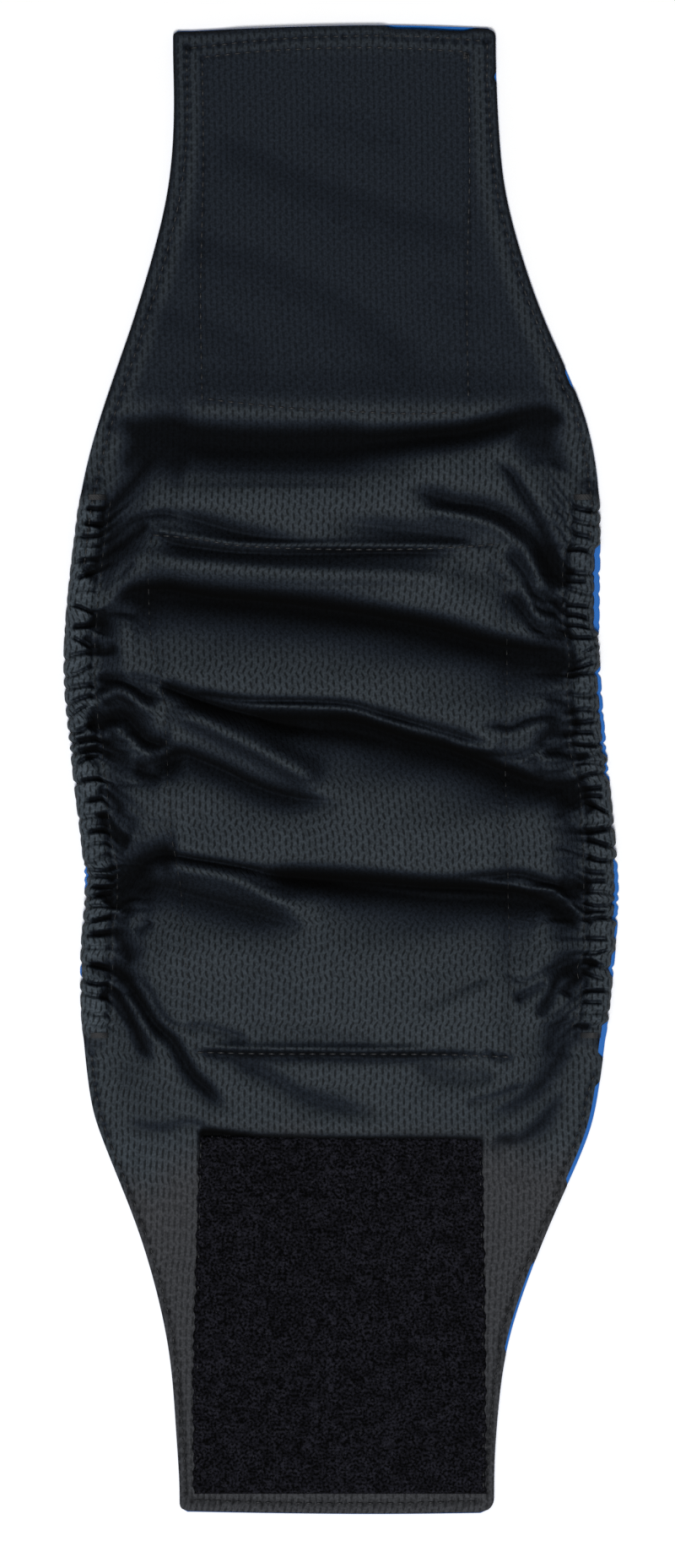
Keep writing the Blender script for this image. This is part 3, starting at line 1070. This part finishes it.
def bend(piece):
    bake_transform(piece)


def row_range(window):
    """A window's first and last row."""
    _, top, bottom = window[:3]
    return int(np.argmin(np.abs(ROWS_Y - top))), int(np.argmin(np.abs(ROWS_Y - bottom)))


def cloth_windows(prefix, points, material, slot, uv, tone, normals):
    """Cuts a sheet's grid at the windows. Each piece bends at its own joint and shares its edge rows."""
    stands_for = {name: [f"{slot}_{node}" for node in nodes] for name, nodes in STANDS.items()}
    columns = points.shape[1]
    for window in WINDOWS:
        a, b = row_range(window)

        def cut(g):
            return g[a : b + 1].reshape((b - a + 1) * columns, -1)

        piece = make_mesh(
            f"{prefix}_{window[0]}", cut(points), quads(b - a + 1, columns), material,
            cut(uv), None if tone is None else cut(tone)[:, 0], cut(normals),
        )
        bend(piece)
        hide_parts(*stands_for[window[0]])


# The CAD panels that each piece of the lining or the shell stands for
STANDS = {
    "hook_tab": ["hook_tab", "hook_neck"], "hook_neck": ["hook_yoke"], "middle": ["centre"],
    "loop_neck": ["loop_neck"], "loop_tab": ["loop_tab"],
}


def make_lining():
    points, uv = np.stack([GRID_X, FINAL_Y, HEIGHT], -1), np.stack([U, V], -1)
    cloth_windows("cloth_lining", points, LINING, "lining", uv, TONE[..., None], NORMALS)


SHELL_COLUMNS = 121
SHELL_Z = 0.25
LIFT_FROM, LIFT_SHARE = 3.5, 0.16
PATCH_LIFT = 1.55
RIM_SLOPE = 0.5
TUCK_WIDTH = 0.8
# The shell's turned-up side, from its foot to where it is tucked under the lining: (mm in, z)
SIDE_TURN = [(0.2, 0.42), (0, 0.75), (0.12, 1.1)]
TUCK_IN, TUCK_Z = 0.5, 1.25
END_OVER = 0.25


def shell_surface():
    """The shell under the lining: flat on the floor, a little lifted under the folds, and turned up at
    its sides to meet the lining, further out where its blue shows."""
    left, right = SHELL_LEFT + 1.0, SHELL_RIGHT - 1.0
    x = spread(left, right, crowded(SHELL_COLUMNS))
    y = np.repeat(ROWS_Y[:, None], SHELL_COLUMNS, axis=1)
    patch = between(x, HOOK_L - 1.5, HOOK_R + 1.5, 3.0)
    patch = patch * smooth((y - HOOK_B + 2.5) / 4) * smooth((216 - y) / 3)
    z = lifted(x, y, between(y, -84, 88, 10.0)) + PATCH_LIFT * patch
    rim = np.minimum(x - left[:, None], right[:, None] - x)
    rim = np.minimum(rim, BAND_END - np.abs(y))
    z = np.minimum(z, SHELL_Z + RIM_SLOPE * np.maximum(rim, 0))
    sides = []
    for side, edge, inner, sign in (("left", SHELL_LEFT, LINING_LEFT, 1),
                                    ("right", SHELL_RIGHT, LINING_RIGHT, -1)):
        away = sign * (x - edge[:, None])
        for at, slant, depth, *_ in PLEATS[side]:
            band = (y[:, 0] > at - 5) & (y[:, 0] < at + 5)
            d = np.abs(y[band] - (at + slant * (away[band] - 4)))
            z[band] += 0.15 * depth * np.exp(-((d / 0.9) ** 1.5)) * smooth((14 - away[band]) / 8)
        turn = [(edge + sign * inward, up) for inward, up in SIDE_TURN]
        turn.append((inner + sign * TUCK_IN, TUCK_Z))
        turn = turn[::-1] if side == "left" else turn
        sides.append([np.stack([x_ for x_, _ in turn], 1),
                      np.stack([np.full(len(ROWS_Y), up) for _, up in turn], 1)])
    x = np.concatenate([sides[0][0], x, sides[1][0]], 1)
    z = np.concatenate([sides[0][1], z, sides[1][1]], 1)
    y = np.repeat(ROWS_Y[:, None], x.shape[1], axis=1)
    at_end = np.clip(1 - (BAND_END - np.abs(y)) / TUCK_WIDTH, 0, 1)
    return x, crowned(x, y) + np.sign(y) * END_OVER * at_end, np.maximum(z, SEAM_Z * at_end)


def lifted(x, y, share=1.0):
    """The shell's height where the folds over it lift it off the floor."""
    above = sample(blur(HEIGHT, 2, 2), x, y)
    return SHELL_Z + LIFT_SHARE * np.maximum(above - LIFT_FROM, 0) * share


def make_shell():
    x, y, z = shell_surface()
    p = np.stack([x, y, z], -1)
    across, down = np.gradient(p, axis=1), np.gradient(p, axis=0)
    n = np.cross(across, down)
    n /= np.maximum(np.linalg.norm(n, axis=-1), 1e-9)[..., None]
    step = np.linalg.norm(np.diff(p, axis=1), axis=-1)
    u = np.concatenate([np.zeros((len(x), 1)), np.cumsum(step, 1)], 1)
    uv = np.stack([u, y], -1)
    # Read from right to left, so that the faces look down.
    cloth_windows("cloth_shell", p[:, ::-1], SHELL, "shell", uv[:, ::-1], None, n[:, ::-1])


# ---------------------------------------------------------------- patches


def slab(name, low, high, material, rise=None, cells=(40, 50), rounded=0.6):
    """A closed patch with rounded edges. rise(x, y) adds to its top and its bottom."""
    nx, ny = cells
    sx, sy = np.linspace(0, 1, nx), np.linspace(0, 1, ny)
    gx, gy = np.meshgrid(low[0] + sx * (high[0] - low[0]), high[1] + sy * (low[1] - high[1]))
    top, bottom = np.full_like(gx, high[2]), np.full_like(gx, low[2])
    if rise is not None:
        up, under = rise(gx, gy)
        top, bottom = top + up, bottom + under
    border = np.zeros_like(gx, bool)
    border[0], border[-1], border[:, 0], border[:, -1] = True, True, True, True
    top = np.where(border, top - rounded, top)
    count = nx * ny
    points = np.concatenate([np.stack([gx, gy, z], -1).reshape(-1, 3) for z in (top, bottom)])
    faces = quads(ny, nx)
    under = faces[:, ::-1] + count
    ring = (
        [j for j in range(nx)] + [i * nx + nx - 1 for i in range(1, ny)]
        + [(ny - 1) * nx + j for j in range(nx - 2, -1, -1)] + [i * nx for i in range(ny - 2, 0, -1)]
    )
    sides = [(a, b, b + count, a + count) for a, b in zip(ring, ring[1:] + ring[:1])]
    return make_mesh(name, points, np.concatenate([faces, under, np.array(sides)]), material)


# A fibre's rows, from root to tip: (how high, how far out) in shares of its length
FIBRE_ROWS = ((0.0, 0.0), (0.55, 0.25), (0.85, 0.8), (0.55, 1.5))


def hairs(name, roots, heights, length, width, material, seed, curl=0.5):
    """A field of short curled fibres, each a strip of three quads that leans and turns over."""
    rand = np.random.default_rng(seed)
    count = len(roots)
    turn = rand.uniform(0, 2 * math.pi, count)
    lean = rand.uniform(0.2, 1.0, count) * curl
    size = length * rand.uniform(0.6, 1.35, count)
    out = np.stack([np.cos(turn), np.sin(turn), np.zeros(count)], 1)
    side = np.stack([-np.sin(turn), np.cos(turn), np.zeros(count)], 1) * width / 2
    base = np.concatenate([roots, heights[:, None]], 1)
    rows = []
    for up, along in FIBRE_ROWS:
        at = base + out * (size * lean * along)[:, None] + np.array([0, 0, 1.0]) * (size * up)[:, None]
        rows += [at - side, at + side]
    points = np.stack(rows, 1).reshape(-1, 3)
    start = np.arange(count)[:, None] * 2 * len(FIBRE_ROWS)
    faces = np.concatenate([start + np.array([k, k + 1, k + 3, k + 2]) for k in (0, 2, 4)])
    return make_mesh(name, points, faces, material)


PILE_CELLS, PILE_ROUND, PILE_FOOT = (120, 150), 1.1, 1.9
FIBRES, FIBRE_LENGTH, FIBRE_WIDTH, FIBRE_SUNK = 16000, 0.65, 0.14, 0.5


def make_loop_patch():
    """The brushed patch: a base that is skewed into its outline, and its fibres."""
    low, high = (0, LOOP_LOW[1], PILE_FOOT), (1, LOOP_HIGH[1], LOOP_HIGH[2])

    def bumps(x, y):
        return 0.12 * ripples(x, y, 6, 3, 9, 1.0, 5), 0 * x

    patch = slab("loop_pile_base", low, high, PILE, bumps, PILE_CELLS, PILE_ROUND)
    co = np.zeros(len(patch.data.vertices) * 3, np.float32)
    patch.data.vertices.foreach_get("co", co)
    co = co.reshape(-1, 3)
    left, right = loop_outline(co[:, 1] / MM)
    wobble = 0.25 * np.sin(co[:, 1] / MM * 1.7) + 0.2 * np.sin(co[:, 1] / MM * 0.61 + 1)
    share = co[:, 0] / MM
    co[:, 0] = (left + wobble + share * (right - left)) * MM
    patch.data.vertices.foreach_set("co", co.ravel())
    rand = np.random.default_rng(11)
    y = rand.uniform(LOOP_LOW[1] + 0.2, LOOP_HIGH[1] + 0.3, FIBRES)
    left, right = loop_outline(y)
    x = left + rand.uniform(0.002, 0.998, FIBRES) * (right - left)
    roots, foot = np.stack([x, y], 1), np.full(FIBRES, LOOP_HIGH[2] - FIBRE_SUNK)
    fuzz = hairs("loop_pile", roots, foot, FIBRE_LENGTH, FIBRE_WIDTH, PILE_TIPS, 12)
    for piece in (patch, fuzz):
        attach(piece, "loop_tab")
    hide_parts("loop_patch")


TAPE_Z = (0.9, 1.6)
HOOK_PITCH = 1.9
# A hook's rings, from its root down to its tip: (z, how far it leans, half its width)
HOOK_RINGS = (
    (0.95, 0.0, 0.2), (0.55, 0.02, 0.16), (0.2, 0.12, 0.15), (0.06, 0.36, 0.13), (0.22, 0.56, 0.09),
)
HOOK_TIP_THIN = 0.8


def make_hook_patch():
    """The hook tape on the band's outer face, and its field of small hooks."""
    low, high = (HOOK_L, HOOK_B, TAPE_Z[0]), (HOOK_R, HOOK_T, TAPE_Z[1])
    base = slab("hook_tape", low, high, HOOK, cells=(30, 40), rounded=0.15)
    xs, ys = (np.arange(a + 2.5, b - 2, HOOK_PITCH) for a, b in ((HOOK_L, HOOK_R), (HOOK_B, HOOK_T)))
    gx, gy = np.meshgrid(xs, ys)
    gx = gx + (np.arange(len(ys)) % 2)[:, None] * HOOK_PITCH / 2
    gx, gy = gx.ravel(), gy.ravel()
    count = len(gx)
    lean = np.where(np.arange(count) % 2 == 0, 1.0, -1.0)
    rows = []
    for z, along, half in HOOK_RINGS:
        tilt = half if z > 0.1 else half * HOOK_TIP_THIN
        for dx, dy in ((-1, -1), (1, -1), (1, 1), (-1, 1)):
            rows.append(np.stack([gx + lean * along + dx * tilt, gy + dy * half, np.full(count, z)], 1))
    points = np.stack(rows, 1).reshape(-1, 3)
    local = quads(len(HOOK_RINGS), 4, wrap=True)[:, [0, 3, 2, 1]].tolist()
    local.append((16, 17, 18, 19))
    start = np.arange(count)[:, None] * 4 * len(HOOK_RINGS)
    faces = np.concatenate([start + np.array(f) for f in local])
    hooks = make_mesh("hook_field", points, faces, HOOK)
    for piece in (base, hooks):
        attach(piece, "hook_tab")
    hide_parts("hook_patch")


# ---------------------------------------------------------------- inside the band

UNDERSIDE = blur(lowest(HEIGHT, 2), 1, 1)


LAYER_UNDER, LAYER_OVER, LAYER_LEAST = 0.45, 0.5, 0.3


def layer(name, material, top_share, bottom_share, inset):
    """A closed soft layer in the pad, at these shares of the room between shell and lining."""
    x0, x1 = CORE_LOW[0] - 2 + inset, CORE_HIGH[0] + 2 - inset
    y0, y1 = CORE_LOW[1] - 2 + inset, CORE_HIGH[1] + 2 - inset

    def heights(x, y):
        above = sample(UNDERSIDE, x, y) - LAYER_UNDER
        below = np.minimum(lifted(x, y) + LAYER_OVER, above - LAYER_LEAST)
        return below + (above - below) * top_share, below + (above - below) * bottom_share

    return slab(name, (x0, y0, 0), (x1, y1, 0), material, heights, cells=(90, 120), rounded=0.0)


def make_inside():
    """The pad's two fleeces and its film, and the elastics. All stretch with the cloth over them."""
    lower = layer("absorbent_fleece_lower", CORE, 0.5, 0.12, 1.0)
    upper = layer("absorbent_fleece_upper", CORE, 1.0, 0.54, 2.0)
    film = layer("barrier_sheet", BARRIER, 0.07, 0.0, 0.0)
    for piece, node, slot in ((lower, "absorbent_core_lower", "core"),
                              (upper, "absorbent_core_upper", "core"),
                              (film, "waterproof_barrier", "barrier")):
        bend(piece)
        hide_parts(node)
    for side, sign, edges in (("left", 1, LINING_LEFT), ("right", -1, LINING_RIGHT)):
        make_elastic(side, sign, edges)


ELASTIC_STEP, ELASTIC_THICK = 0.6, 0.5
ELASTIC_WAVE, WAVE_PITCH = 0.35, 3.3
ELASTIC_ROOF = 3.4
# The braid's cross-section: (mm in from the edge, 0 at its lower face and 1 at its upper)
BRAID = ((1.8, 0.0), (4.5, 0.0), (6.8, 0.0), (6.8, 1.0), (4.5, 1.0), (1.8, 1.0))


def make_elastic(side, sign, edges):
    """A flat braided elastic, drawn up in small waves in its channel."""
    ys = np.arange(ELASTIC_HIGH[1], ELASTIC_LOW[1], -ELASTIC_STEP)
    edge = blur(np.interp(ys, ROWS_Y[::-1], edges[::-1])[:, None], 4)[:, 0]
    wave = ELASTIC_WAVE * np.sin(ys * 2 * math.pi / WAVE_PITCH)
    rings = []
    for away, share in BRAID:
        x = edge + sign * away
        roof = np.minimum(sample(UNDERSIDE, x, ys) - 0.35, ELASTIC_ROOF + wave)
        rings.append(np.stack([x, ys, roof - ELASTIC_THICK * (1 - share)], 1))
    points = np.stack(rings, 1).reshape(-1, 3)
    faces = quads(len(ys), len(BRAID), wrap=True)
    if sign > 0:
        faces = faces[:, ::-1]
    ends = [[0, 1, 4, 5], [1, 2, 3, 4]]
    last = (len(ys) - 1) * len(BRAID)
    caps = ends + [[k + last for k in reversed(f)] for f in ends]
    band = make_mesh(f"elastic_braid_{side}", points, np.concatenate([faces, np.array(caps)]), ELASTIC)
    bend(band)
    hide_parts(f"elastic_{side}")


# ---------------------------------------------------------------- stitching

STITCH_NODES = {
    "hook_tab_topstitch_left": ["hook_tab_topstitch"], "hook_patch_stitch_left": ["hook_patch_stitch"],
    "channel_stitch_left": ["channel_stitch_left"], "channel_stitch_right": ["channel_stitch_right"],
    "pad_stitch_top": ["pad_box_stitch"], "loop_tab_topstitch_left": ["loop_tab_topstitch"],
}
THREAD_SIDES = 6


THREAD_RADIUS, SUNK_RADIUS, SEAM_RADIUS = 0.26, 0.13, 0.2
STITCH_SHARE = 0.72
# How a stitch, a bar tack and a loose thread rise out of the cloth and dip into it again
STITCH_ARC = np.array([-0.35, 0.05, 0.22, 0.22, 0.05, -0.35])
BAR_ARC = np.array([-0.2, 0.12, 0.25, 0.25, 0.12, -0.2])
LOOSE_ARC = np.array([-0.2, 0.15, 0.35, 0.35, 0.15, -0.2])


def stitch_row(points, surface_z=None):
    """The middle lines of one row of stitches that dip into the cloth at both ends."""
    line = route(points, 0.25)
    run = np.concatenate([[0], np.cumsum(np.linalg.norm(np.diff(line, axis=0), axis=1))])
    half = STITCH_SHARE / 2
    parts = []
    for k in range(int(run[-1] / STITCH_PITCH)):
        s = np.linspace((k + 0.5 - half) * STITCH_PITCH, (k + 0.5 + half) * STITCH_PITCH, len(STITCH_ARC))
        x, y = np.interp(s, run, line[:, 0]), np.interp(s, run, line[:, 1])
        z = sample(HEIGHT, x, y) if surface_z is None else np.full(len(s), surface_z)
        parts.append(np.stack([x, crowned(x, y), z + STITCH_ARC], 1))
    return parts


THREAD_THIN = 0.45


def tubes(centres, radius):
    """One mesh's points and faces for many short threads that thin towards their ends."""
    points, faces = [], []
    a = np.linspace(0, 2 * math.pi, THREAD_SIDES, endpoint=False)
    for centre in centres:
        start = len(points) * THREAD_SIDES
        along = np.gradient(centre, axis=0)
        along /= np.linalg.norm(along, axis=1)[:, None]
        side = np.cross(along, (0, 0, 1.0))
        side /= np.maximum(np.linalg.norm(side, axis=1), 1e-6)[:, None]
        up = np.cross(side, along)
        size = radius * (1 - THREAD_THIN * np.linspace(-1, 1, len(centre)) ** 4)
        for c, s, u, r in zip(centre, side, up, size):
            points.append(c + r * (np.cos(a)[:, None] * s + np.sin(a)[:, None] * u))
        faces += (quads(len(centre), THREAD_SIDES, wrap=True) + start).tolist()
        last = start + (len(centre) - 1) * THREAD_SIDES
        faces += [[start + k for k in (0, 1, 2, 3)], [start + k for k in (0, 3, 4, 5)]]
        faces += [[last + k for k in (3, 2, 1, 0)], [last + k for k in (5, 4, 3, 0)]]
    return np.concatenate(points), faces


def window_of(y):
    """The window that y lies in."""
    for window in WINDOWS:
        if y >= window[2]:
            return window
    return WINDOWS[-1]


def make_threads(name, centres, stands_for, radius=THREAD_RADIUS, material=THREAD):
    """Threads, cut where the cloth is cut, so that each stitch follows its own piece of cloth."""
    groups = {}
    for centre in centres:
        groups.setdefault(window_of(float(centre[:, 1].mean()))[0], []).append(centre)
    first = True
    for window in WINDOWS:
        if window[0] not in groups:
            continue
        points, faces = tubes(groups[window[0]], radius)
        piece = make_mesh(f"{name}_{window[0]}", points, faces, material)
        bend(piece)
        if first and stands_for:
            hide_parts(*stands_for)
        first = False


LOOP_BOX = [
    (-41.5, -109.5), (-42.4, -160), (-42.8, -213), (-20, -213.2), (10, -213.2), (42, -213), (41.8, -160),
    (41, -110),
]
BARS, BAR_PITCH, BAR_ENDS, BAR_STAGGER = 10, 0.16, (1.6, 8.4), 0.2


def make_stitches():
    for name, points in STITCHES.items():
        radius, material = (SUNK_RADIUS, SUNK_THREAD) if name in FAINT else (THREAD_RADIUS, THREAD)
        make_threads(name, stitch_row(points), STITCH_NODES.get(name), radius, material)
    rows = []
    for a, b in zip(LOOP_BOX, LOOP_BOX[1:]):
        rows += stitch_row([a, ((a[0] + b[0]) / 2, (a[1] + b[1]) / 2), b], LOOP_HIGH[2] - 0.45)
    make_threads("loop_patch_seam", rows, ["loop_patch_stitch"], radius=SEAM_RADIUS)
    for side, sign, edges in (("left", 1, SHELL_LEFT), ("right", -1, SHELL_RIGHT)):
        for end, y in (("hook", CHANNEL_TOP + 0.5), ("loop", CHANNEL_END - 0.5)):
            edge = float(np.interp(y, ROWS_Y[::-1], edges[::-1]))
            bars = []
            for k in range(BARS):
                at = np.full(len(BAR_ARC), y + BAR_PITCH * (k - (BARS - 1) / 2))
                stagger = BAR_STAGGER * (k % 2)
                x = edge + sign * np.linspace(BAR_ENDS[0] + stagger, BAR_ENDS[1] - stagger, len(BAR_ARC))
                bars.append(np.stack([x, at, sample(HEIGHT, x, at) + BAR_ARC], 1))
            stands_for = [f"bartack_{side}_{end}_end"]
            make_threads(f"bartack_threads_{side}_{end}", bars, stands_for, radius=SUNK_RADIUS)


KNOT_AT, KNOT_SIZE, KNOT_THREADS = (36.5, 211.2), (1.4, 1.6), 9


def make_knot():
    """The tangle of thread where the box stitch starts and ends."""
    rand = np.random.default_rng(21)
    knots = []
    t = np.linspace(0, 1, len(LOOSE_ARC))
    for _ in range(KNOT_THREADS):
        a, b = rand.uniform(-1, 1, 2), rand.uniform(-1, 1, 2)
        x, y = (KNOT_AT[k] + KNOT_SIZE[k] * (a[k] + (b[k] - a[k]) * t) for k in (0, 1))
        knots.append(np.stack([x, y, sample(HEIGHT, x, y) + LOOSE_ARC], 1))
    make_threads("thread_knot", knots, None, radius=SEAM_RADIUS)


# ---------------------------------------------------------------- the stage


FLOOR_HALF = 30.0
# (name, place in metres, how wide in metres, watts). The key light comes from beyond the loop end, so
# that the hook side of each roll is in shade.
LAMPS = (("key", (-0.2, -2.4, 5.6), 1.8, 328.0), ("fill", (-1.4, 1.4, 5.2), 2.8, 34.0))
SKY_LIGHT = 0.205


def make_stage():
    mesh = bpy.data.meshes.new("floor")
    corners = [(FLOOR_HALF * sx, FLOOR_HALF * sy, 0) for sx, sy in ((-1, -1), (1, -1), (1, 1), (-1, 1))]
    mesh.from_pydata(corners, [], [(0, 1, 2, 3)])
    mesh.materials.append(floor_material())
    floor = bpy.data.objects.new("floor", mesh)
    bpy.context.scene.collection.objects.link(floor)

    for name, place, wide, power in LAMPS:
        light = bpy.data.lights.new(name, "AREA")
        light.shape, light.size, light.energy = "DISK", wide, power
        lamp = bpy.data.objects.new(name, light)
        lamp.location = place
        lamp.rotation_mode = "QUATERNION"
        lamp.rotation_quaternion = (-Vector(place)).to_track_quat("-Z", "Y")
        bpy.context.scene.collection.objects.link(lamp)

    world = bpy.data.worlds.new("studio")
    world.use_nodes = True
    sky = world.node_tree.nodes["Background"]
    sky.inputs[0].default_value = (1, 1, 1, 1)
    sky.inputs[1].default_value = SKY_LIGHT
    bpy.context.scene.world = world


VIEW_TALL = 464.25 * MM
SENSOR = 36.0
CAMERA_AT = (-1.1 * MM, -4.25 * MM, 2.0)


def make_camera():
    """Straight down, framed as the photo is."""
    camera = bpy.data.cameras.new("camera")
    camera.sensor_width = SENSOR
    camera.lens = SENSOR * CAMERA_AT[2] / VIEW_TALL
    camera.clip_end = 100.0
    obj = bpy.data.objects.new("camera", camera)
    obj.location = CAMERA_AT
    bpy.context.scene.collection.objects.link(obj)
    bpy.context.scene.camera = obj
    view = bpy.context.scene.view_settings
    view.view_transform = "Standard"
    view.look = "None"


make_stage()
make_camera()
make_lining()
make_shell()
make_inside()
make_loop_patch()
make_hook_patch()
make_stitches()
make_knot()
